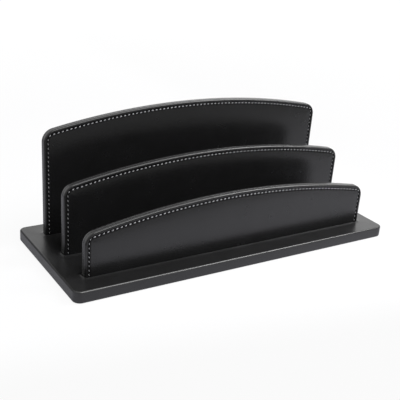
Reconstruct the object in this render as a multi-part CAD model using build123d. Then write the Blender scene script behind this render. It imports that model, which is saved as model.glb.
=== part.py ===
from build123d import *
import math
import os

# A three-tier desk sorter. A covered base slab carries three upright panels with arched tops.
# Each panel is a stiff board between two covers, which wrap its edge and meet along the
# middle of the rim. A stitched seam follows the rim on both sides.
# Millimetres, +Z up, +X along the panels, the front towards -Y.
# The origin is the middle of the underside.

# Plan of the base, from its front edge to its rear edge
base_length = 300.0
front_ledge = 18.4
slot_width = 33.5
rear_ledge = 17.0
end_ledge = 15.3

# Base board, with a groove for each panel
base_board_thickness = 8.0
base_board_corner_radius = 5.4
groove_depth = 5.0
groove_clearance = 0.05

# Eased edges of all the boards, under the covering
board_arris = 0.8

# Covering, turned-under hem and underside
cover_thickness = 0.8
base_edge_radius = 1.2
rim_edge_radius = 1.4
hem_width = 14.0
slit_clearance = 0.1
card_clearance = 0.3
lining_thickness = 0.4
lining_margin = 3.0

# Panels: heights are from the top of the base to the crown of the arch
front_panel_height = 48.9
middle_panel_height = 71.3
back_panel_height = 102.9
panel_board_thickness = 4.8
side_flare = 0.57  # degrees that each side leans outwards
arch_radius = 632.0
panel_corner_radius = 11.0
least_bend_radius = 0.5
tongue_shoulder = 10.0

# Stitched seam, measured from the panel's edge
stitch_inset = 3.5
seam_bend_radius = 4.0
stitch_pitch = 3.66
stitch_length = 2.4
thread_width = 0.8
thread_height = 0.55
channel_width = 1.3
channel_depth = 0.3

# Countersunk screws, driven up through the base board
screws_per_panel = 2
screw_end_inset = 36.0
screw_length = 16.0
screw_radius = 1.1
screw_head_radius = 2.2
screw_head_depth = 1.1
screw_clearance = 0.05

# How far a cut runs past the face that it opens
overrun = 1.0

# Worked-out sizes
panel_thickness = panel_board_thickness + 2 * cover_thickness
half_thickness = panel_thickness / 2
panel_step = slot_width + panel_thickness
base_depth = front_ledge + 2 * panel_step + panel_thickness + rear_ledge
base_corner_radius = base_board_corner_radius + cover_thickness
# The seam turns more tightly than the panel's corner: this is the corner that it would run parallel to
seam_corner_radius = seam_bend_radius + stitch_inset
board_bottom = lining_thickness + cover_thickness
board_top = board_bottom + base_board_thickness
base_top = board_top + cover_thickness
groove_floor = board_top - groove_depth
# The covering stays even where it turns round the board's eased lower edge
hem_arris = board_arris + cover_thickness * (2 - math.sqrt(2))
panel_foot_width = base_length - 2 * end_ledge
flare_sine = math.sin(math.radians(side_flare))
flare_cosine = math.cos(math.radians(side_flare))

# Mid-plane of each panel, and the height of its crown above the floor
front_panel_y = -base_depth / 2 + front_ledge + half_thickness
middle_panel_y = front_panel_y + panel_step
back_panel_y = middle_panel_y + panel_step
panels = {
    "front_panel": (front_panel_y, base_top + front_panel_height),
    "middle_panel": (middle_panel_y, base_top + middle_panel_height),
    "back_panel": (back_panel_y, base_top + back_panel_height),
}


def side_point(height, inset):
    """Point of a panel's right side, drawn in by inset, at a height above the floor."""
    rise = height - base_top
    along = (rise - inset * flare_sine) / flare_cosine
    return Vector(panel_foot_width / 2 + along * flare_sine - inset * flare_cosine, height)


def bend_centre(crown, reach):
    """Point that lies reach inside both the right side and the arch."""
    arch_centre = Vector(0, crown - arch_radius)
    start = side_point(base_top, reach)
    run = Vector(flare_sine, flare_cosine)
    offset_out = start - arch_centre
    lean = offset_out.dot(run)
    along = math.sqrt(lean**2 - offset_out.dot(offset_out) + (arch_radius - reach) ** 2) - lean
    return start + run * along


def rim_line(crown, corner_radius, inset, foot):
    """Up one side of a panel, over its arch and down the other side, drawn in by inset."""
    bend = max(corner_radius - inset, least_bend_radius)
    centre = bend_centre(crown, inset + bend)
    outwards = Vector(flare_cosine, -flare_sine)
    upwards = (centre - Vector(0, crown - arch_radius)).normalized()
    side_end = centre + outwards * bend
    bend_middle = centre + (outwards + upwards).normalized() * bend
    arch_end = centre + upwards * bend
    side = Line(side_point(foot, inset), side_end)
    side += ThreePointArc(side_end, bend_middle, arch_end)
    arch = ThreePointArc(arch_end, (0, crown - inset), (-arch_end.X, arch_end.Y))
    return side + arch + mirror(side, about=Plane.YZ)


def panel_outline(crown, corner_radius, inset, foot):
    """Face of a panel seen from the front, drawn in by inset, standing on foot."""
    right_foot = side_point(foot, inset)
    foot_line = Line(right_foot, (-right_foot.X, right_foot.Y))
    return make_face(rim_line(crown, corner_radius, inset, foot) + foot_line)


def upright(outline, start, depth):
    """Solid on an outline drawn in X and Z, from start towards the front by depth."""
    return extrude(Plane.XZ.offset(start) * outline, depth)


def front_rim(half):
    """Edges round the front of half a panel, all but the one at its foot."""
    return half.faces().sort_by(Axis.Y)[0].edges().sort_by(Axis.Z)[1:]


def half_board(crown):
    """Front half of a panel's board, from its mid-plane, without its tongue."""
    outline = panel_outline(crown, panel_corner_radius, cover_thickness, board_top)
    half = upright(outline, 0, panel_board_thickness / 2)
    return chamfer(front_rim(half), board_arris)


def face_cover(crown):
    """Cover on a panel's front: a skin with a rounded rim over the board, and a channel for the seam."""
    half = upright(panel_outline(crown, panel_corner_radius, 0, board_top), 0, half_thickness)
    cover = fillet(front_rim(half), rim_edge_radius) - half_board(crown)
    outer, inner = stitch_inset - channel_width / 2, stitch_inset + channel_width / 2
    channel = panel_outline(crown, seam_corner_radius, outer, base_top)
    channel -= panel_outline(crown, seam_corner_radius, inner, base_top - overrun)
    cover -= upright(channel, half_thickness - channel_depth, channel_depth + overrun)
    return cover


def single_stitch():
    """One visible stitch, lying along X on the channel's floor and rising from needle hole to middle."""
    half_length = stitch_length / 2
    profile = make_face(Polyline((-half_length, 0), (half_length, 0), (0, thread_height), close=True))
    return extrude(Plane.XZ * profile, thread_width / 2, both=True)


def face_stitches(crown):
    """The row of separate stitches on a panel's front, foot to foot over the arch."""
    channel_floor = Plane.XZ.offset(half_thickness - channel_depth)
    seam = (channel_floor * rim_line(crown, seam_corner_radius, stitch_inset, base_top)).wire()
    count = round(seam.length / stitch_pitch)
    step = seam.length / count
    stitch = single_stitch()
    row = []
    for number in range(count):
        reach = (number + 1 / 2) * step
        spot = seam.position_at(reach, PositionMode.LENGTH)
        along = seam.tangent_at(reach, PositionMode.LENGTH)
        row.append(Plane(spot, x_dir=along, z_dir=channel_floor.z_dir) * stitch)
    return row


def screw_places(panel_y):
    """Points on the base board's underside where a panel's screws go in."""
    first = -panel_foot_width / 2 + screw_end_inset
    step = -2 * first / (screws_per_panel - 1)
    return [Pos(first + number * step, panel_y, board_bottom) for number in range(screws_per_panel)]


def screw():
    """Countersunk screw, head down."""
    profile = make_face(Polyline(
        (0, 0),
        (screw_head_radius, 0),
        (screw_radius, screw_head_depth),
        (screw_radius, screw_length),
        (0, screw_length),
        close=True,
    ))
    return revolve(Plane.XZ * profile, Axis.Z)


def screw_hole():
    """Countersunk hole that the screw seats in, with clearance round its shank and at its end."""
    hole_radius = screw_radius + screw_clearance
    hole_depth = screw_length + screw_clearance
    seat_depth = screw_head_depth * (screw_head_radius - hole_radius) / (screw_head_radius - screw_radius)
    profile = make_face(Polyline(
        (0, 0),
        (screw_head_radius, 0),
        (hole_radius, seat_depth),
        (hole_radius, hole_depth),
        (0, hole_depth),
        close=True,
    ))
    return revolve(Plane.XZ * profile, Axis.Z)


def panel_board(panel_y, crown):
    """Stiff core of a panel, with a tongue below for the base board's groove."""
    half = half_board(crown)
    tongue = Pos(0, 0, groove_floor) * Box(
        tongue_length(), panel_board_thickness, groove_depth, align=(Align.CENTER, Align.CENTER, Align.MIN)
    )
    board = Pos(0, panel_y, 0) * (half + mirror(half, about=Plane.XZ) + tongue)
    for place in screw_places(panel_y):
        board -= place * screw_hole()
    return board


def tongue_length():
    """Length of a panel board's tongue, inside the shoulders at its ends."""
    return 2 * (side_point(board_top, cover_thickness).X - tongue_shoulder)


def slab(length, depth, corner_radius, bottom, thickness):
    """Flat plate with rounded plan corners."""
    return Pos(0, 0, bottom) * extrude(RectangleRounded(length, depth, corner_radius), thickness)


def bottom_edges(plate):
    """Edges round the underside of a plate."""
    return plate.faces().sort_by(Axis.Z)[0].edges()


def top_edges(plate):
    """Edges round the top of a plate."""
    return plate.faces().sort_by(Axis.Z)[-1].edges()


def base_core():
    """Base board before its grooves and holes are cut."""
    plate = slab(
        base_length - 2 * cover_thickness,
        base_depth - 2 * cover_thickness,
        base_board_corner_radius,
        board_bottom,
        base_board_thickness,
    )
    return chamfer(top_edges(plate) + bottom_edges(plate), board_arris)


def base_board():
    """Base board with the panels' grooves and the countersunk screw holes."""
    board = base_core()
    groove = Box(
        tongue_length() + 2 * groove_clearance,
        panel_board_thickness + 2 * groove_clearance,
        groove_depth + overrun,
        align=(Align.CENTER, Align.CENTER, Align.MIN),
    )
    for panel_y, crown in panels.values():
        board -= Pos(0, panel_y, groove_floor) * groove
        for place in screw_places(panel_y):
            board -= place * screw_hole()
    return board


def hem_opening(clearance, bottom, thickness):
    """Plate that fills the space inside the hem, less a clearance all round."""
    border = hem_width + clearance
    return slab(
        base_length - 2 * border,
        base_depth - 2 * border,
        base_corner_radius,
        bottom,
        thickness,
    )


def base_cover():
    """Covering of the base: top, rolled edges, hem turned under and a slit for each panel."""
    wrap = slab(
        base_length,
        base_depth,
        base_corner_radius,
        lining_thickness,
        base_board_thickness + 2 * cover_thickness,
    )
    wrap = fillet(top_edges(wrap), base_edge_radius)
    cover = chamfer(bottom_edges(wrap), hem_arris) - base_core()
    cover -= hem_opening(0, lining_thickness - overrun, cover_thickness + 2 * overrun)
    slit = RectangleRounded(
        panel_foot_width + 2 * slit_clearance,
        panel_thickness + 2 * slit_clearance,
        rim_edge_radius + slit_clearance,
    )
    for panel_y, crown in panels.values():
        cover -= Pos(0, panel_y, board_top - overrun) * extrude(slit, cover_thickness + 2 * overrun)
    return cover


def base_lining():
    """Thin sheet under the base, which hides the hem and rests on the desk."""
    return slab(
        base_length - 2 * lining_margin,
        base_depth - 2 * lining_margin,
        base_corner_radius,
        0,
        lining_thickness,
    )


def write(node, solids):
    """Write one node's solids to its own file."""
    export_step(Compound(solids), os.path.join("parts", node + ".step"))


def build():
    """Make every piece and write it."""
    os.makedirs("parts", exist_ok=True)
    write("base_board", base_board().solids())
    write("base_cover", base_cover().solids())
    write("base_filler_card", hem_opening(card_clearance, lining_thickness, cover_thickness).solids())
    write("base_lining", base_lining().solids())
    screws = []
    for name, (panel_y, crown) in panels.items():
        place = Pos(0, panel_y, 0)
        cover = face_cover(crown)
        stitches = face_stitches(crown)
        write(name + "_board", panel_board(panel_y, crown).solids())
        write(name + "_face_cover", (place * cover).solids())
        write(name + "_rear_cover", (place * mirror(cover, about=Plane.XZ)).solids())
        write(name + "_face_stitching", [place * stitch for stitch in stitches])
        write(name + "_rear_stitching", [place * mirror(stitch, about=Plane.XZ) for stitch in stitches])
        screws += [spot * screw() for spot in screw_places(panel_y)]
    write("panel_screws", screws)


build()
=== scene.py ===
"""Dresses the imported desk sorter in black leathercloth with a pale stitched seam, and lights it."""

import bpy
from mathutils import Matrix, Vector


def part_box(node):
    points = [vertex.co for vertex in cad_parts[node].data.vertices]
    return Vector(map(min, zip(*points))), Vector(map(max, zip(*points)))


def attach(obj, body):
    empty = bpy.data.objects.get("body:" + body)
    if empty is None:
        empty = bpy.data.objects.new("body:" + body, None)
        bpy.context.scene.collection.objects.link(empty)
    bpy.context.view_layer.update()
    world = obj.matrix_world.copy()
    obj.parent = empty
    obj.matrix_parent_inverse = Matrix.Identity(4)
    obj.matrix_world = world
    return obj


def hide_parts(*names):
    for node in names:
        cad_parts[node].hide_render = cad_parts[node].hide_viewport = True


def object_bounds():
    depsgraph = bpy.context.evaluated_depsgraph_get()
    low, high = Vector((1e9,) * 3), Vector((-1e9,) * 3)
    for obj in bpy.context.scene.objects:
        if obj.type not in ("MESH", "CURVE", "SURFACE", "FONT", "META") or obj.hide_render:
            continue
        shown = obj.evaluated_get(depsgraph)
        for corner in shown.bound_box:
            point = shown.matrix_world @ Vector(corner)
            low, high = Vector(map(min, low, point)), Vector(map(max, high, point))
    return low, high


bl_info = {
    "name": "Three-tier desk sorter",
    "version": (1, 0, 0),
    "blender": (4, 5, 0),
    "location": "3D View > Sidebar > Sorter",
    "description": "Leathercloth covers, stitched seams and studio stage for a packed desk sorter",
    "category": "Object",
}

import math
from typing import NamedTuple

import bmesh
import bpy
from bpy.props import FloatProperty, FloatVectorProperty, PointerProperty
from bpy.types import Operator, Panel, PropertyGroup
from mathutils import Matrix, Vector

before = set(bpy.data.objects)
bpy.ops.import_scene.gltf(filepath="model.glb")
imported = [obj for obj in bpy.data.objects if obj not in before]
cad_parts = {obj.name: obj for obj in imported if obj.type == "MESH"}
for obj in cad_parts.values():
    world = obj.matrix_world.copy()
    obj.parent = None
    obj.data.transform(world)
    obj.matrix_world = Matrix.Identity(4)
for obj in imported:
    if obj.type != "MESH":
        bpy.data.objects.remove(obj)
CAD_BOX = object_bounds()
MM = 0.001
# A length that is too small to show
TINY = MM / 1000
PANELS = ("front_panel", "middle_panel", "back_panel")
SIDES = ("face", "rear")

# Each stitch is modelled on four points of the seam: its middle, two flanks and a needle hole
POINTS_PER_STITCH = 4
NEEDLE_HOLE = 2

# Attribute of a cover: the share of its gloss that is lost, or gained where it is negative
DULL = "dull"

# Smoothest and roughest spots of the leathercloth on the panels and on the base
PANEL_ROUGHNESS = (0.22, 0.28)
BASE_ROUGHNESS = (0.28, 0.34)

# Section of the base's cover beside a slit: share of the lip's reach and share of its height
LIP_SECTION = ((0.6, 0.25), (0.32, 0.75), (0.14, 1.0), (0.04, 0.7), (0.0, -0.6))

# Faces that meet at more than this angle keep a sharp edge
SHARP_ANGLE = math.radians(50)

# Width of the camera's sensor, in millimetres
SENSOR_WIDTH = 36.0

WHITE = (1, 1, 1, 1)


def linear(hex_colour):
    """Linear colour of an sRGB hex value."""
    channels = [int(hex_colour[start:start + 2], 16) / 255 for start in (1, 3, 5)]
    return [c / 12.92 if c <= 0.04045 else ((c + 0.055) / 1.055) ** 2.4 for c in channels]


def length(name, millimetres, description):
    """Property for a length that is given in millimetres and kept in metres."""
    return FloatProperty(
        name=name, description=description, default=millimetres * MM, unit="LENGTH", precision=5
    )


def angle(name, degrees, description):
    """Property for an angle that is given in degrees."""
    return FloatProperty(
        name=name, description=description, default=math.radians(degrees), unit="ROTATION"
    )


def fraction(name, amount, description):
    """Property for a share of a whole."""
    return FloatProperty(name=name, description=description, default=amount, subtype="FACTOR")


def colour(name, hex_colour, description):
    """Property for a colour that is given as an sRGB hex value."""
    return FloatVectorProperty(
        name=name, description=description, default=linear(hex_colour), subtype="COLOR", min=0, max=1
    )


class SorterPanelSizes(PropertyGroup):
    """Outline and rim of the upright panels."""

    end_ledge: length("End ledge", 15.3, "Base left bare beyond each end of a panel's foot")
    side_flare: angle("Side flare", 0.57, "How far each side of a panel leans outwards")
    arch_radius: length("Arch radius", 632.0, "Radius of a panel's arched top")
    corner_radius: length("Corner radius", 11.0, "Radius where a side turns into the arch")
    rim_radius: length("Rim radius", 1.4, "Rounding from the rim to the face")
    crease_depth: length("Crease depth", 0.2, "Depth of the crease where the covers meet on the rim")
    crease_width: length("Crease width", 0.6, "From the crease's middle to the crown of the rolled edge")
    skin: length("Skin", 0.2, "Thickness of the modelled cover")


class SorterSeamSizes(PropertyGroup):
    """Stitched seam along each panel's rim."""

    inset: length("Inset", 3.5, "From a panel's edge to its seam")
    bend_radius: length("Bend radius", 4.0, "Radius of the seam's bend near a panel's corner")
    pitch: length("Pitch", 3.66, "From one stitch to the next")
    stitch_length: length("Stitch length", 1.9, "Visible length of a stitch")
    thread_width: length("Thread width", 0.95, "Width of the thread as it lies")
    thread_height: length("Thread height", 0.62, "Height of the thread as it lies")
    side_draw: fraction("Side draw", 0.58, "How much finer a stitch is on the sides")
    slant: angle("Slant", 13.0, "How far each stitch turns out of the seam's line")
    channel_width: length("Channel width", 1.0, "Width of the channel that the thread pulls in")
    channel_depth: length("Channel depth", 0.2, "Depth of the channel under a stitch")
    needle_pull: length("Needle pull", 0.16, "How much deeper the channel is at a needle hole")
    pillow_depth: length("Pillow depth", 0.24, "How far the padded face sinks towards its seam")
    pillow_reach: length("Pillow reach", 9.0, "How far from its seam the face starts to sink")


class SorterBaseSizes(PropertyGroup):
    """Covered base and the slits that the panels stand in."""

    corner_radius: length("Corner radius", 6.2, "Radius of the base's corners in plan")
    edge_radius: length("Edge radius", 1.2, "Rounding of the base's edges")
    edge_polish: fraction("Edge polish", 1.1, "Share of gloss that the front top edge gains")
    end_dullness: fraction("End dullness", 0.8, "Share of gloss that the top edge loses at its ends")
    hem_width: length("Hem width", 14.0, "Width of the cover's turned-under hem")
    slit_clearance: length("Slit clearance", 0.1, "Gap between a panel and the edge of its slit")
    lip_reach: length("Lip reach", 3.6, "How far from a slit the cover starts to rise")
    lip_height: length("Lip height", 0.22, "Rise of the cover beside a slit")
    end_pucker: length("End pucker", 0.3, "Extra rise of the cover at the ends of a slit")
    skin: length("Skin", 0.5, "Thickness of the modelled cover")


class SorterFinishes(PropertyGroup):
    """Colours of the sorter's materials."""

    leather: colour("Leathercloth", "#1c1c1c", "Black skin of the leathercloth")
    leather_worn: colour("Leathercloth, rubbed", "#212122", "Leathercloth where it is slightly rubbed")
    thread: colour("Thread", "#f0f0f4", "Pale stitching thread")
    thread_shade: colour("Thread shade", "#aeaeb2", "Thread between its strands")
    fibreboard: colour("Fibreboard", "#a98a63", "Pressed wood fibre")
    fibreboard_dark: colour("Fibreboard, dark fibre", "#7d6243", "Darker fibres in the board")
    card: colour("Grey board", "#8f8c86", "Recycled filler card")
    card_fleck: colour("Grey board fleck", "#68655f", "Flecks in the filler card")
    flock: colour("Flock", "#29292b", "Flocked lining under the base")
    flock_tip: colour("Flock tips", "#3a3a3d", "Lighter fibre ends of the flock")
    zinc: colour("Zinc", "#c3c6c9", "Zinc plating of the screws")
    floor: colour("Floor", "#e5e5ec", "Studio floor")
    # Painted shade: the floor's colour where the sweep is darkened towards the viewer and to the right
    floor_shade: colour("Floor shade", "#868686", "Studio floor where it falls into shade")


class SorterStage(PropertyGroup):
    """Camera, floor and light."""

    camera_place: FloatVectorProperty(
        name="Camera place",
        description="Where the photograph was taken from",
        default=(-340.285 * MM, -505.257 * MM, 285.431 * MM),
        subtype="TRANSLATION",
        unit="LENGTH",
    )
    camera_yaw: angle("Camera yaw", 33.103, "Turn of the view to the right of straight ahead")
    camera_pitch: angle("Camera pitch", 22.371, "How far the view looks down")
    camera_roll: angle("Camera roll", 4.376, "Turn of the camera about its line of sight")
    lens: FloatProperty(
        name="Lens", description="Focal length for a 36 mm sensor", default=68.96, unit="CAMERA"
    )
    floor_size: length("Floor size", 8000.0, "Side of the square studio floor")
    ambient: fraction("Ambient", 0.12, "Level of the white surroundings as light")


def sizes(group):
    """One of the sorter's property groups in the current scene."""
    return getattr(bpy.context.scene, group)


# Shared mesh helpers


def new_object(name, bm, material):
    """Object at the origin with a mesh and a material."""
    mesh = bpy.data.meshes.new(name)
    bm.to_mesh(mesh)
    bm.free()
    mesh.materials.append(material)
    made = bpy.data.objects.new(name, mesh)
    bpy.context.scene.collection.objects.link(made)
    return made


def new_piece(name, bm, material):
    """Object with smooth faces that rides on the sorter."""
    piece = new_object(name, bm, material)
    piece.data.shade_smooth()
    piece.data.set_sharp_from_angle(angle=SHARP_ANGLE)
    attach(piece, "root")
    return piece


def round_plate(bm, corner, far_corner, radius, level, segments=8):
    """Level face with rounded corners between two corners in plan."""
    span = Vector(far_corner) - Vector(corner)
    middle = (Vector(far_corner) + Vector(corner)) / 2
    place = Matrix.Translation((middle.x, middle.y, level)) @ Matrix.Diagonal((span.x, span.y, 1, 1))
    # The grid's size is half its side, so this is a unit square
    made = bmesh.ops.create_grid(bm, x_segments=1, y_segments=1, size=0.5, matrix=place)
    rounded = bmesh.ops.bevel(
        bm,
        geom=made["verts"],
        offset=radius,
        affect="VERTICES",
        segments=segments,
        profile=0.5,
        material=-1,
    )
    rim = set(rounded["verts"])
    return next(face for face in bm.faces if set(face.verts) <= rim)


def step_in(bm, face, inward, rise):
    """Ring of faces that draws a face in and lifts it along its normal."""
    bmesh.ops.inset_region(
        bm, faces=[face], thickness=inward, depth=rise, use_boundary=True, use_even_offset=True
    )


def level_cut(bm, level, clear_below=False):
    """Cuts the faces of a mesh at a level, and clears what lies below if asked to."""
    bmesh.ops.bisect_plane(
        bm,
        geom=bm.verts[:] + bm.edges[:] + bm.faces[:],
        dist=TINY,
        plane_co=(0, 0, level),
        plane_no=(0, 0, 1),
        clear_inner=clear_below,
    )


# Panel covers


class PanelShape(NamedTuple):
    """Where a panel stands and how its seam runs from the crown to the right, in metres and radians."""

    # Mid-plane in Y, heights of the crown and of the foot in the base, and half the thickness
    middle: float
    crown: float
    foot: float
    half: float
    # Centres of the panel's rounded corner and of its seam's bend, in X and Z
    corner: Vector
    bend: Vector
    # Directions from the bend's centre, from straight up to the right, where the bend starts and ends
    arch_turn: float
    side_turn: float
    # Travel along the seam to the start and the end of the bend
    arch_end: float
    bend_end: float
    # Number of stitches from foot to foot, and the travel from one to the next
    stitches: int
    step: float


def bend_centre(crown, reach):
    """Point in X and Z that lies a reach inside the right side and the arch, and its way up the side."""
    panel = sizes("sorter_panels")
    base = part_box("base_cover")[1]
    run = Vector((math.sin(panel.side_flare), math.cos(panel.side_flare)))
    start = Vector((base.x - panel.end_ledge, base.z)) + Vector((-run.y, run.x)) * reach
    from_arch = start - Vector((0, crown - panel.arch_radius))
    lean = from_arch.dot(run)
    rise = math.sqrt(lean**2 - from_arch.length_squared + (panel.arch_radius - reach) ** 2) - lean
    return start + run * rise, rise


def panel_shape(name):
    """Shape of a panel, from its CAD face cover and the base that it stands on."""
    panel, seam = sizes("sorter_panels"), sizes("sorter_seam")
    low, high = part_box(name + "_face_cover")
    crown = high.z
    corner, _ = bend_centre(crown, panel.corner_radius)
    bend, rise = bend_centre(crown, seam.inset + seam.bend_radius)
    arch_turn = math.atan2(bend.x, bend.y - crown + panel.arch_radius)
    side_turn = math.pi / 2 + panel.side_flare
    arch_end = (panel.arch_radius - seam.inset) * arch_turn
    bend_end = arch_end + seam.bend_radius * (side_turn - arch_turn)
    total = 2 * (bend_end + rise)
    stitches = round(total / seam.pitch)
    return PanelShape(
        middle=high.y,
        crown=crown,
        foot=low.z,
        half=high.y - low.y,
        corner=corner,
        bend=bend,
        arch_turn=arch_turn,
        side_turn=side_turn,
        arch_end=arch_end,
        bend_end=bend_end,
        stitches=stitches,
        step=total / stitches,
    )


def seam_place(shape, travel):
    """Point of the seam and its outward direction, in X and Z, at a travel to the right of the crown."""
    panel, seam = sizes("sorter_panels"), sizes("sorter_seam")
    reach = abs(travel)
    if reach <= shape.arch_end:
        centre, radius = Vector((0, shape.crown - panel.arch_radius)), panel.arch_radius - seam.inset
        turn = reach / radius
    else:
        centre, radius = shape.bend, seam.bend_radius
        turn = min(shape.arch_turn + (reach - shape.arch_end) / radius, shape.side_turn)
    outward = Vector((math.sin(turn), math.cos(turn)))
    down = Vector((outward.y, -outward.x)) * max(reach - shape.bend_end, 0)
    point = centre + outward * radius + down
    if travel < 0:
        point.x, outward.x = -point.x, -outward.x
    return point, outward


def edge_reach(shape, point, outward):
    """From a point of the seam straight out to the panel's edge, which its rounded corner shortens."""
    panel = sizes("sorter_panels")
    mirror = math.copysign(1, point.x)
    from_corner = Vector((point.x * mirror, point.y)) - shape.corner
    outward = Vector((outward.x * mirror, outward.y))
    lean = from_corner.dot(outward)
    reach = math.sqrt(max(lean**2 - from_corner.length_squared + panel.corner_radius**2, 0)) - lean
    on_edge = from_corner + outward * reach
    arch = shape.corner - Vector((0, shape.crown - panel.arch_radius))
    side = Vector((math.sin(shape.side_turn), math.cos(shape.side_turn)))
    on_corner = arch.cross(on_edge) < 0 < side.cross(on_edge)
    return reach if on_corner else sizes("sorter_seam").inset


def inner_room(shape, travel):
    """How far a ring of the face may go inwards from a spot of the seam, which is least at the bends."""
    past_bend = max(shape.arch_end - abs(travel), abs(travel) - shape.bend_end, 0)
    half_turn = (shape.side_turn - shape.arch_turn) / 2
    # At a bend the rings stop short of its centre
    radius_share = 0.9
    return radius_share * sizes("sorter_seam").bend_radius + past_bend / math.tan(half_turn)


def rim_profile(half):
    """Inset from the panel's edge and stand from its mid-plane, from the crease to the flat face."""
    panel = sizes("sorter_panels")
    rings = [(panel.crease_depth, 0)]
    roll_steps = 3
    for number in range(1, roll_steps + 1):
        turn = math.pi / 2 * number / roll_steps
        rings.append((
            panel.crease_depth * (1 - math.sin(turn)),
            panel.crease_width * (1 - math.cos(turn)),
        ))
    edge_steps = 6
    for number in range(edge_steps + 1):
        turn = math.pi / 2 * number / edge_steps
        rings.append((
            panel.rim_radius * (1 - math.cos(turn)),
            half - panel.rim_radius * (1 - math.sin(turn)),
        ))
    return rings


def channel_profile(half):
    """Way inwards from the seam, stand from the mid-plane and dullness, over channel and pillow."""
    seam = sizes("sorter_seam")
    reach = seam.channel_width / 2
    sunk = half - seam.pillow_depth
    # The skin is dull where the thread presses it, less beside the channel and not at all on the pillow;
    # the dullness is partly painted shade in the channel
    pressed, towards_rim, towards_face, plain = 1.0, 0.8, 0.7, 0.0
    rings = [
        (-2 * reach, sunk + seam.pillow_depth / 4, towards_rim),
        (-reach, sunk, pressed),
        (-reach / 2, sunk - seam.channel_depth / 2, pressed),
        (0, sunk - seam.channel_depth, pressed),
        (reach / 2, sunk - seam.channel_depth / 2, pressed),
        (reach, sunk, towards_face),
    ]
    pillow_steps = 6
    for number in range(1, pillow_steps + 1):
        share = number / pillow_steps
        inward = reach + (seam.pillow_reach - reach) * share
        rings.append((inward, half - seam.pillow_depth * (1 - share) ** 2, plain))
    return rings


def panel_cover(name, side):
    """One cover of a panel: rolled edge, rounded rim, stitched channel and flat face."""
    shape = panel_shape(name)
    seam = sizes("sorter_seam")
    # The outline runs on below the base, clear of the foot, where it is cut off
    points_below = 2 * POINTS_PER_STITCH
    last = (shape.stitches - 1) * POINTS_PER_STITCH // 2 + points_below
    numbers = range(last, -last - 1, -1)
    travels = [number * shape.step / POINTS_PER_STITCH for number in numbers]
    spots = [seam_place(shape, travel) for travel in travels]
    rooms = [inner_room(shape, travel) for travel in travels]
    edges = [edge_reach(shape, *spot) for spot in spots]
    holes = [seam.needle_pull if number % POINTS_PER_STITCH == NEEDLE_HOLE else 0 for number in numbers]
    flat = [0] * len(spots)
    rings = [
        ([edge - inset for edge in edges], stand, flat, 0.0) for inset, stand in rim_profile(shape.half)
    ]
    # The needle holes pull in the rings under the thread alone
    pull_reach = seam.channel_width / 3
    for inward, stand, dulled in channel_profile(shape.half):
        near_thread = abs(inward) < pull_reach
        outs = [-room * math.tanh(inward / room) for room in rooms]
        rings.append((outs, stand, holes if near_thread else flat, dulled))
    bm = bmesh.new()
    dull = bm.verts.layers.float.new(DULL)
    outline = [bm.verts.new((point.x, shape.middle, point.y)) for point, _ in spots]
    face = bm.faces.new(outline)
    for outs, stand, pulls, dulled in rings:
        if stand:
            step_in(bm, face, TINY, 0)
        for vert, (point, outward), out, pull in zip(face.verts, spots, outs, pulls):
            place = point + outward * out
            vert.co = (place.x, shape.middle - stand + pull, place.y)
            vert[dull] = dulled
    level_cut(bm, shape.foot, clear_below=True)
    dull_foot(bm, dull)
    if side == "rear":
        mirror_plane = Matrix.Translation((0, -shape.middle, 0))
        bmesh.ops.scale(bm, vec=(1, -1, 1), verts=bm.verts, space=mirror_plane)
        bmesh.ops.reverse_faces(bm, faces=bm.faces)
    bm.normal_update()
    bmesh.ops.solidify(bm, geom=bm.faces[:], thickness=sizes("sorter_panels").skin)
    return bm


def dull_foot(bm, dull):
    """Takes gloss off the foot of a cover, most where it meets the base: painted shade where the panel
    stands in the base.
    """
    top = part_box("base_cover")[1].z
    height, most = 9 * MM, 0.55
    # The cuts give the dullness points to fade over
    cut_shares = (0.25, 0.5, 1.0)
    for share in cut_shares:
        level_cut(bm, top + height * share)
    for vert in bm.verts:
        share = min(max((vert.co.z - top) / height, 0), 1)
        vert[dull] = max(vert[dull], most * (1 - share))


class SORTER_OT_panel_covers(Operator):
    """Make the face and rear covers of the three panels."""

    bl_idname = "sorter.panel_covers"
    bl_label = "Panel covers"

    def execute(self, context):
        material = leathercloth("leathercloth_calendered_black", *PANEL_ROUGHNESS)
        for name in PANELS:
            for side in SIDES:
                node = name + "_" + side + "_cover"
                piece = new_piece(node + "_skin", panel_cover(name, side), material)
                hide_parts(node)
        return {"FINISHED"}


# Stitching


def single_stitch():
    """Mesh of one straight two-strand stitch along X, one unit long and wide."""
    bm = bmesh.new()
    sections, sides = 6, 8
    # The strands make half a turn about each other
    twist = math.pi / sections
    ring = bmesh.ops.create_circle(bm, cap_ends=True, segments=sides, radius=0.5)["verts"]
    face = ring[0].link_faces[0]
    # Two opposite points are drawn in, so that the section shows a strand on either side
    waist_share = 0.62
    bmesh.ops.scale(bm, vec=(waist_share, waist_share, 1), verts=[ring[0], ring[sides // 2]])
    bmesh.ops.rotate(bm, cent=(0, 0, 0), matrix=Matrix.Rotation(math.pi / 2, 3, "Y"), verts=ring)
    bmesh.ops.translate(bm, vec=(-0.5, 0, 0), verts=ring)
    for number in range(1, sections + 1):
        made = bmesh.ops.extrude_face_region(bm, geom=[face])["geom"]
        if number > 1:
            bm.faces.remove(face)
        face = next(item for item in made if isinstance(item, bmesh.types.BMFace))
        bmesh.ops.translate(bm, vec=(1 / sections, 0, 0), verts=face.verts)
        bmesh.ops.rotate(
            bm,
            cent=face.calc_center_median(),
            matrix=Matrix.Rotation(twist, 3, "X"),
            verts=face.verts,
        )
    bmesh.ops.recalc_face_normals(bm, faces=bm.faces)
    return bm


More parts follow.
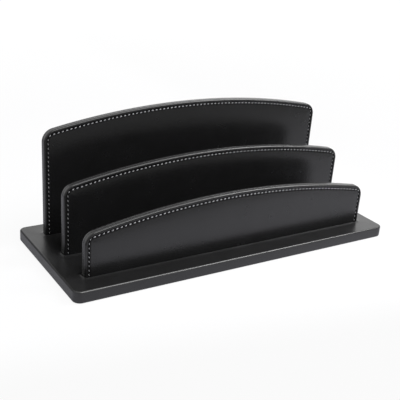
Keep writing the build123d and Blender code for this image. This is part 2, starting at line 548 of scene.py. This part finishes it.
def shape_stitch(bm):
    """Gives a straight strand its real size, thins its ends and bows it into its needle holes."""
    seam = sizes("sorter_seam")
    # The middle lies on the channel's floor, and the ends are thinner and dive below it
    taper_share, taper_power = 0.35, 3
    middle_share, dive_share, dive_power = 0.5, 0.75, 2.5
    for vert in bm.verts:
        share = 2 * abs(vert.co.x)
        thin = 1 - taper_share * share**taper_power
        vert.co.x *= seam.stitch_length
        vert.co.y *= seam.thread_width * thin
        vert.co.z *= seam.thread_height * thin
        vert.co.z += seam.thread_height * (middle_share - dive_share * share**dive_power)
    return bm


def seam_stitches(name, side):
    """The row of stitches on one side of a panel, foot to foot over the arch."""
    shape = panel_shape(name)
    seam = sizes("sorter_seam")
    floor = shape.half - seam.pillow_depth - seam.channel_depth
    stitch = bpy.data.meshes.new("stitch")
    shaped = shape_stitch(single_stitch())
    shaped.to_mesh(stitch)
    shaped.free()
    towards = -1 if side == "face" else 1
    bm = bmesh.new()
    for number in range(shape.stitches):
        point, outward = seam_place(shape, (number - (shape.stitches - 1) / 2) * shape.step)
        stand = Vector((0, towards, 0))
        lift = Vector((outward.x, 0, outward.y))
        along = lift.cross(stand)
        place = Matrix((along, lift, stand)).transposed().to_4x4()
        place.translation = (point.x, shape.middle + towards * floor, point.y)
        # On the upright sides the thread is drawn tighter than over the arch
        fineness = 1 - seam.side_draw * abs(outward.x)
        draw = Matrix.Diagonal((1, fineness, fineness, 1))
        start = len(bm.verts)
        bm.from_mesh(stitch)
        bm.verts.ensure_lookup_table()
        bmesh.ops.transform(
            bm, matrix=place @ Matrix.Rotation(seam.slant, 4, "Z") @ draw, verts=bm.verts[start:]
        )
    bpy.data.meshes.remove(stitch)
    return bm


class SORTER_OT_stitching(Operator):
    """Lay the separate stitches of every seam in its channel."""

    bl_idname = "sorter.stitching"
    bl_label = "Stitching"

    def execute(self, context):
        material = thread()
        for name in PANELS:
            for side in SIDES:
                node = name + "_" + side + "_stitching"
                piece = new_piece(node + "_thread", seam_stitches(name, side), material)
                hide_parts(node)
        return {"FINISHED"}


# Base cover


def slit_lip(bm, name):
    """Cover round a panel's slit: it rises to the slit, most at its ends, and turns down into it."""
    base = sizes("sorter_base")
    panel = sizes("sorter_panels")
    shape = panel_shape(name)
    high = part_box("base_cover")[1]
    half = shape.half
    slit_end = high.x - panel.end_ledge
    grow = base.slit_clearance + base.lip_reach
    reach = Vector((slit_end + grow, half + grow))
    centre = Vector((0, shape.middle))
    other_edges = set(bm.edges)
    face = round_plate(bm, centre - reach, centre + reach, panel.rim_radius + grow, high.z, segments=6)
    rise = 0
    for reach_share, rise_share in LIP_SECTION:
        target = base.lip_height * rise_share
        inward = grow - base.slit_clearance - base.lip_reach * reach_share
        step_in(bm, face, inward, target - rise)
        grow -= inward
        rise = target
        # The cover puckers from half a panel's thickness before each end of the slit
        pucker = base.end_pucker * max(rise_share, 0)
        for vert in face.verts:
            past_start = abs(vert.co.x) - slit_end + half
            vert.co.z += pucker * max(past_start, 0) / (2 * half)
    slit_edges = set(face.edges)
    bmesh.ops.delete(bm, geom=[face], context="FACES_ONLY")
    return [edge for edge in bm.edges if edge.is_boundary and edge not in other_edges | slit_edges]


def rub_edge(bm, dull):
    """Makes the base's top edge glossier along the front, most on the left, and duller at the ends."""
    base = sizes("sorter_base")
    low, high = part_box("base_cover")
    for vert in bm.verts:
        if TINY < high.z - vert.co.z < base.edge_radius - TINY:
            facing = vert.normal.xy.normalized()
            rubbed = max(-facing.y, 0) * (high.x - vert.co.x) / (high.x - low.x)
            vert[dull] = base.end_dullness * abs(facing.x) - base.edge_polish * rubbed


def base_cover():
    """Cover of the base: rounded slab with a slit for each panel and a hem turned under."""
    base = sizes("sorter_base")
    low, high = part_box("base_cover")
    bm = bmesh.new()
    dull = bm.verts.layers.float.new(DULL)
    under = round_plate(bm, low.xy, high.xy, base.corner_radius, low.z)
    made = bmesh.ops.extrude_face_region(bm, geom=[under])["geom"]
    top = next(item for item in made if isinstance(item, bmesh.types.BMFace))
    bmesh.ops.translate(bm, vec=(0, 0, high.z - low.z), verts=top.verts)
    bmesh.ops.recalc_face_normals(bm, faces=bm.faces)
    bmesh.ops.bevel(
        bm,
        geom=top.edges[:] + under.edges[:],
        offset=base.edge_radius,
        affect="EDGES",
        segments=6,
        profile=0.5,
        material=-1,
    )
    bm.normal_update()
    rub_edge(bm, dull)
    flats = sorted(bm.faces, key=lambda face: face.calc_area())[-2:]
    under, top = sorted(flats, key=lambda face: face.calc_center_median().z)
    # A narrow margin keeps the rounding apart from the wide triangles of the flats
    margin = base.edge_radius / 4
    for flat in (under, top):
        step_in(bm, flat, margin, 0)
    under_loop, top_loop = under.edges[:], top.edges[:]
    bmesh.ops.delete(bm, geom=[under, top], context="FACES_ONLY")
    for name in PANELS:
        top_loop += slit_lip(bm, name)
    hem = Vector((base.hem_width, base.hem_width))
    opening = round_plate(bm, low.xy + hem, high.xy - hem, base.corner_radius, low.z)
    under_loop += opening.edges[:]
    bmesh.ops.delete(bm, geom=[opening], context="FACES_ONLY")
    bmesh.ops.triangle_fill(bm, use_beauty=True, edges=top_loop, normal=(0, 0, 1))
    bmesh.ops.triangle_fill(bm, use_beauty=True, edges=under_loop, normal=(0, 0, -1))
    bmesh.ops.recalc_face_normals(bm, faces=bm.faces)
    bmesh.ops.solidify(bm, geom=bm.faces[:], thickness=base.skin)
    return bm


class SORTER_OT_base_cover(Operator):
    """Make the covering of the base."""

    bl_idname = "sorter.base_cover"
    bl_label = "Base cover"

    def execute(self, context):
        material = leathercloth("leathercloth_matt_black", *BASE_ROUGHNESS)
        piece = new_piece("base_cover_skin", base_cover(), material)
        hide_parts("base_cover")
        return {"FINISHED"}


# Materials


def add(tree, kind, inputs=None, **settings):
    """Node of a kind with its settings, and a value or a link for each named input."""
    node = tree.nodes.new("ShaderNode" + kind)
    for name, value in settings.items():
        setattr(node, name, value)
    for socket, value in (inputs or {}).items():
        if isinstance(value, bpy.types.NodeSocket):
            tree.links.new(value, node.inputs[socket])
        else:
            node.inputs[socket].default_value = value
    return node


def blank_material(name):
    """New material's node tree without nodes, and the material."""
    material = bpy.data.materials.new(name)
    material.use_nodes = True
    material.node_tree.nodes.clear()
    return material, material.node_tree


def finish_surface(tree, inputs):
    """Shader of a finished surface, joined to the material's output."""
    shader = add(tree, "BsdfPrincipled", inputs)
    add(tree, "OutputMaterial", {"Surface": shader.outputs["BSDF"]})


def opaque(rgb):
    """Colour with full alpha."""
    return (*rgb, 1)


def two_tone(tree, factor, first, second):
    """Output that runs from the first colour to the second with a factor."""
    return add(
        tree,
        "Mix",
        {"Factor": factor, "A": opaque(first), "B": opaque(second)},
        data_type="RGBA",
    ).outputs["Result"]


def leathercloth(name, smoothest, roughest):
    """Calendered leathercloth: smooth black skin, faint pebbled grain, soft waves from the board."""
    finish = sizes("sorter_finishes")
    # Real grain is about 0.5 mm and too fine to show, so it is drawn at 1.2 mm
    grain_size, wave_size, rub_size = 1.2 * MM, 38 * MM, 14 * MM
    material, tree = blank_material(name)
    place = add(tree, "TexCoord").outputs["Object"]
    grain = add(tree, "TexVoronoi", {"Vector": place, "Scale": 1 / grain_size}, feature="SMOOTH_F1")
    waves = add(tree, "TexNoise", {"Vector": place, "Scale": 1 / wave_size, "Detail": 1.0})
    rubs = add(tree, "TexNoise", {"Vector": place, "Scale": 1 / rub_size, "Detail": 4.0})
    polish = add(
        tree,
        "MapRange",
        {
            "Value": rubs.outputs["Fac"],
            "From Min": 0.3,
            "From Max": 0.7,
            "To Min": smoothest,
            "To Max": roughest,
        },
    )
    # Pressed skin is duller and a rubbed edge glossier, and the dulled foot and channel also carry painted
    # shade; half is the plain level of gloss
    dulled = add(tree, "Attribute", attribute_name=DULL).outputs["Fac"]
    gloss = add(tree, "MapRange", {"Value": dulled, "To Min": 0.5, "To Max": 0.0}, clamp=False)
    pebbles = add(
        tree,
        "Bump",
        {"Height": grain.outputs["Distance"], "Strength": 0.05, "Distance": grain_size},
    )
    drape = add(
        tree,
        "Bump",
        {
            "Height": waves.outputs["Fac"],
            "Strength": 0.12,
            "Distance": wave_size / 20,
            "Normal": pebbles.outputs["Normal"],
        },
    )
    finish_surface(tree, {
        "Base Color": two_tone(tree, rubs.outputs["Fac"], finish.leather, finish.leather_worn),
        "Roughness": polish.outputs["Result"],
        "IOR": 1.6,
        "Specular IOR Level": gloss.outputs["Result"],
        "Normal": drape.outputs["Normal"],
    })
    return material


def thread():
    """Spun polyester thread: pale, matt, with fine strands and a soft sheen."""
    finish = sizes("sorter_finishes")
    strand_size = 0.35 * MM
    material, tree = blank_material("thread_spun_polyester")
    place = add(tree, "TexCoord").outputs["Object"]
    strands = add(tree, "TexNoise", {"Vector": place, "Scale": 1 / strand_size, "Detail": 2.0})
    fuzz = add(
        tree,
        "Bump",
        {"Height": strands.outputs["Fac"], "Strength": 0.3, "Distance": strand_size / 4},
    )
    finish_surface(tree, {
        "Base Color": two_tone(tree, strands.outputs["Fac"], finish.thread_shade, finish.thread),
        "Roughness": 0.38,
        "Normal": fuzz.outputs["Normal"],
    })
    return material


def fibreboard():
    """Medium-density fibreboard: pressed wood fibre, matt, with short darker fibres."""
    finish = sizes("sorter_finishes")
    fibre_size = 1.6 * MM
    material, tree = blank_material("fibreboard_pressed")
    place = add(tree, "TexCoord").outputs["Object"]
    stretch = add(tree, "Mapping", {"Vector": place, "Scale": (0.4, 1, 1)})
    fibres = add(
        tree,
        "TexNoise",
        {"Vector": stretch.outputs["Vector"], "Scale": 1 / fibre_size, "Detail": 5.0, "Roughness": 0.7},
    )
    nap = add(
        tree, "Bump", {"Height": fibres.outputs["Fac"], "Strength": 0.2, "Distance": fibre_size / 8}
    )
    finish_surface(tree, {
        "Base Color": two_tone(tree, fibres.outputs["Fac"], finish.fibreboard_dark, finish.fibreboard),
        "Roughness": 0.8,
        "Normal": nap.outputs["Normal"],
    })
    return material


def grey_board():
    """Recycled grey board: dull pulp with small flecks."""
    finish = sizes("sorter_finishes")
    fleck_size = 0.9 * MM
    material, tree = blank_material("grey_board_recycled")
    place = add(tree, "TexCoord").outputs["Object"]
    flecks = add(tree, "TexNoise", {"Vector": place, "Scale": 1 / fleck_size, "Detail": 3.0})
    pulp = add(
        tree, "Bump", {"Height": flecks.outputs["Fac"], "Strength": 0.15, "Distance": fleck_size / 8}
    )
    finish_surface(tree, {
        "Base Color": two_tone(tree, flecks.outputs["Fac"], finish.card_fleck, finish.card),
        "Roughness": 0.85,
        "Normal": pulp.outputs["Normal"],
    })
    return material


def flock():
    """Flocked lining: short upright fibres, dead matt with a soft sheen at grazing angles."""
    finish = sizes("sorter_finishes")
    tuft_size = 0.7 * MM
    material, tree = blank_material("flock_lining_black")
    place = add(tree, "TexCoord").outputs["Object"]
    tufts = add(tree, "TexVoronoi", {"Vector": place, "Scale": 1 / tuft_size})
    pile = add(
        tree, "Bump", {"Height": tufts.outputs["Distance"], "Strength": 0.4, "Distance": tuft_size / 3}
    )
    finish_surface(tree, {
        "Base Color": two_tone(tree, tufts.outputs["Distance"], finish.flock, finish.flock_tip),
        "Roughness": 0.95,
        "Sheen Weight": 0.4,
        "Normal": pile.outputs["Normal"],
    })
    return material


def zinc_steel():
    """Zinc-plated steel: bright blue-grey metal with a slightly cloudy plating."""
    finish = sizes("sorter_finishes")
    cloud_size = 1.5 * MM
    material, tree = blank_material("zinc_plated_steel")
    place = add(tree, "TexCoord").outputs["Object"]
    clouds = add(tree, "TexNoise", {"Vector": place, "Scale": 1 / cloud_size, "Detail": 3.0})
    polish = add(
        tree, "MapRange", {"Value": clouds.outputs["Fac"], "To Min": 0.25, "To Max": 0.42}
    )
    finish_surface(tree, {
        "Base Color": opaque(finish.zinc),
        "Metallic": 1.0,
        "Roughness": polish.outputs["Result"],
    })
    return material


class SORTER_OT_inner_parts(Operator):
    """Give the boards, filler card, lining and screws their own materials."""

    bl_idname = "sorter.inner_parts"
    bl_label = "Boards, lining and screws"

    def execute(self, context):
        board = fibreboard()
        finishes = {name + "_board": board for name in PANELS}
        finishes["base_board"] = board
        finishes["base_filler_card"] = grey_board()
        finishes["base_lining"] = flock()
        finishes["panel_screws"] = zinc_steel()
        for node, material in finishes.items():
            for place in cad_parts[node].material_slots:
                place.material = material
        return {"FINISHED"}


# Stage


def studio_floor():
    """Matt white paper sweep: lit like paper, with painted shade towards the viewer and to the right and a
    painted glow in reflections and as light, but white to the camera with a faint shadow.
    """
    material, tree = blank_material("paper_sweep_matt_white")
    # Painted light: a share of the sweep glows in reflections and onto the sorter, and a larger share
    # shows it white to the camera
    painted_glow_share, shown_share = 0.4, 0.88
    finish = sizes("sorter_finishes")
    # Painted shade darkens the sweep towards the viewer, which dims what the rear panels reflect
    towards_light = (0.18, 1, 0)
    shade_end, light_start = -180 * MM, -108 * MM
    spot = add(tree, "TexCoord").outputs["Object"]
    place = add(tree, "VectorMath", {0: spot, 1: towards_light}, operation="DOT_PRODUCT")
    painted_lit = add(
        tree,
        "MapRange",
        {"Value": place.outputs["Value"], "From Min": shade_end, "From Max": light_start},
        interpolation_type="SMOOTHSTEP",
    )
    # Painted shade also darkens it to the right, which the right ends of the rear panels reflect
    fade_start, fade_end, faded_share = 180 * MM, 280 * MM, 0.6
    across = add(tree, "SeparateXYZ", {"Vector": spot}).outputs["X"]
    painted_fade = add(
        tree,
        "MapRange",
        {
            "Value": across,
            "From Min": fade_start,
            "From Max": fade_end,
            "To Min": 1.0,
            "To Max": faded_share,
        },
        interpolation_type="SMOOTHSTEP",
    )
    painted_lightness = add(
        tree, "Math", {0: painted_lit.outputs["Result"], 1: painted_fade.outputs["Result"]}, operation="MULTIPLY"
    )
    tone = two_tone(tree, painted_lightness.outputs["Value"], finish.floor_shade, finish.floor)
    paper = add(tree, "BsdfDiffuse", {"Color": tone})
    camera_ray = add(tree, "LightPath").outputs["Is Camera Ray"]
    seen = add(tree, "Mix", {"Factor": camera_ray, "A": tone, "B": WHITE}, data_type="RGBA")
    # Out of the lamps' reach the sweep's painted glow is lifted, so that it runs into the white
    # surroundings
    lift_start, lift_end = 400 * MM, 1600 * MM
    near_level, far_level = 1.06, 1.16
    away = add(tree, "VectorMath", {0: spot}, operation="LENGTH")
    level = add(
        tree,
        "MapRange",
        {
            "Value": away.outputs["Value"],
            "From Min": lift_start,
            "From Max": lift_end,
            "To Min": near_level,
            "To Max": far_level,
        },
    )
    glow = add(tree, "Emission", {"Color": seen.outputs["Result"], "Strength": level.outputs["Result"]})
    share = add(tree, "MapRange", {"Value": camera_ray, "To Min": painted_glow_share, "To Max": shown_share})
    both = add(tree, "MixShader", {0: share.outputs["Result"], 1: paper.outputs[0], 2: glow.outputs[0]})
    add(tree, "OutputMaterial", {"Surface": both.outputs[0]})
    return material


def light_surroundings(level):
    """White surroundings: plain to the camera, dim behind the viewer in reflections, soft as light."""
    world = bpy.data.worlds.new("white_studio")
    bpy.context.scene.world = world
    world.use_nodes = True
    tree = world.node_tree
    tree.nodes.clear()
    # The backdrop is white and the room behind the viewer dim, which gives each rolled rim its dark side
    towards_backdrop = (0, 1, 0)
    room_end, backdrop_start, room_level = -0.5, 0.2, 0.35
    heading = add(tree, "TexCoord").outputs["Generated"]
    place = add(tree, "VectorMath", {0: heading, 1: towards_backdrop}, operation="DOT_PRODUCT")
    mirrored = add(
        tree,
        "MapRange",
        {
            "Value": place.outputs["Value"],
            "From Min": room_end,
            "From Max": backdrop_start,
            "To Min": room_level,
            "To Max": 1.0,
        },
        interpolation_type="SMOOTHSTEP",
    )
    path = add(tree, "LightPath")
    unseen = add(
        tree, "Mix", {"Factor": path.outputs["Is Glossy Ray"], "A": level, "B": mirrored.outputs["Result"]}
    )
    strength = add(
        tree, "Mix", {"Factor": path.outputs["Is Camera Ray"], "A": unseen.outputs["Result"], "B": 1.0}
    )
    sky = add(tree, "Background", {"Color": WHITE, "Strength": strength.outputs["Result"]})
    add(tree, "OutputWorld", {"Surface": sky.outputs[0]})


def soft_box(name, place, width, height, radiance):
    """Rectangular lamp at a place in metres that faces the sorter's middle with an even brightness."""
    lamp = bpy.data.lights.new(name, "AREA")
    lamp.shape = "RECTANGLE"
    lamp.size, lamp.size_y = width, height
    lamp.energy = radiance * math.pi * width * height
    holder = bpy.data.objects.new(name, lamp)
    bpy.context.scene.collection.objects.link(holder)
    target = (CAD_BOX[0] + CAD_BOX[1]) / 2
    holder.location = place
    holder.rotation_euler = (target - Vector(place)).to_track_quat("-Z", "Y").to_euler()


class SORTER_OT_stage(Operator):
    """Lay the floor, set the lights and place the camera where the photograph was taken from."""

    bl_idname = "sorter.stage"
    bl_label = "Stage"

    def execute(self, context):
        stage = sizes("sorter_stage")
        scene = context.scene
        bm = bmesh.new()
        bmesh.ops.create_grid(bm, x_segments=1, y_segments=1, size=stage.floor_size / 2)
        floor = new_object("studio_floor", bm, studio_floor())
        light_surroundings(stage.ambient)
        soft_box("key_soft_box", place=(0.62, -0.3, 0.74), width=0.3, height=0.5, radiance=11.0)
        soft_box("top_soft_box", place=(0.2, -0.6, 1.1), width=0.9, height=0.7, radiance=3.6)
        soft_box("back_soft_box", place=(0.85, 1.0, 0.4), width=1.2, height=0.6, radiance=0.5)
        view = bpy.data.cameras.new("photo_camera")
        view.sensor_width = SENSOR_WIDTH
        view.lens = stage.lens
        camera = bpy.data.objects.new("photo_camera", view)
        scene.collection.objects.link(camera)
        camera.matrix_world = (
            Matrix.Translation(stage.camera_place)
            @ Matrix.Rotation(-stage.camera_yaw, 4, "Z")
            @ Matrix.Rotation(math.pi / 2 - stage.camera_pitch, 4, "X")
            @ Matrix.Rotation(stage.camera_roll, 4, "Z")
        )
        scene.camera = camera
        scene.view_settings.view_transform = "Standard"
        return {"FINISHED"}


class SORTER_PT_sidebar(Panel):
    """Sidebar panel with the sorter's sizes, finishes and steps."""

    bl_idname = "SORTER_PT_sidebar"
    bl_label = "Desk sorter"
    bl_space_type = "VIEW_3D"
    bl_region_type = "UI"
    bl_category = "Sorter"

    def draw(self, context):
        for group in GROUPS:
            box = self.layout.box()
            box.label(text=group)
            settings = getattr(context.scene, group)
            for name in settings.bl_rna.properties.keys():
                if name not in ("rna_type", "name"):
                    box.prop(settings, name)
        for operator in OPERATORS:
            self.layout.operator(operator.bl_idname)


GROUPS = {
    "sorter_panels": SorterPanelSizes,
    "sorter_seam": SorterSeamSizes,
    "sorter_base": SorterBaseSizes,
    "sorter_finishes": SorterFinishes,
    "sorter_stage": SorterStage,
}
OPERATORS = (
    SORTER_OT_panel_covers,
    SORTER_OT_stitching,
    SORTER_OT_base_cover,
    SORTER_OT_inner_parts,
    SORTER_OT_stage,
)
CLASSES = (*GROUPS.values(), *OPERATORS, SORTER_PT_sidebar)


def register():
    """Register the classes and hang the property groups on the scene."""
    for item in CLASSES:
        bpy.utils.register_class(item)
    for name, group in GROUPS.items():
        setattr(bpy.types.Scene, name, PointerProperty(type=group))


def unregister():
    """Undo what register did."""
    for name in GROUPS:
        delattr(bpy.types.Scene, name)
    for item in reversed(CLASSES):
        bpy.utils.unregister_class(item)


def main():
    register()
    bpy.ops.sorter.panel_covers()
    bpy.ops.sorter.stitching()
    bpy.ops.sorter.base_cover()
    bpy.ops.sorter.inner_parts()
    bpy.ops.sorter.stage()


if __name__ == "__main__":
    main()
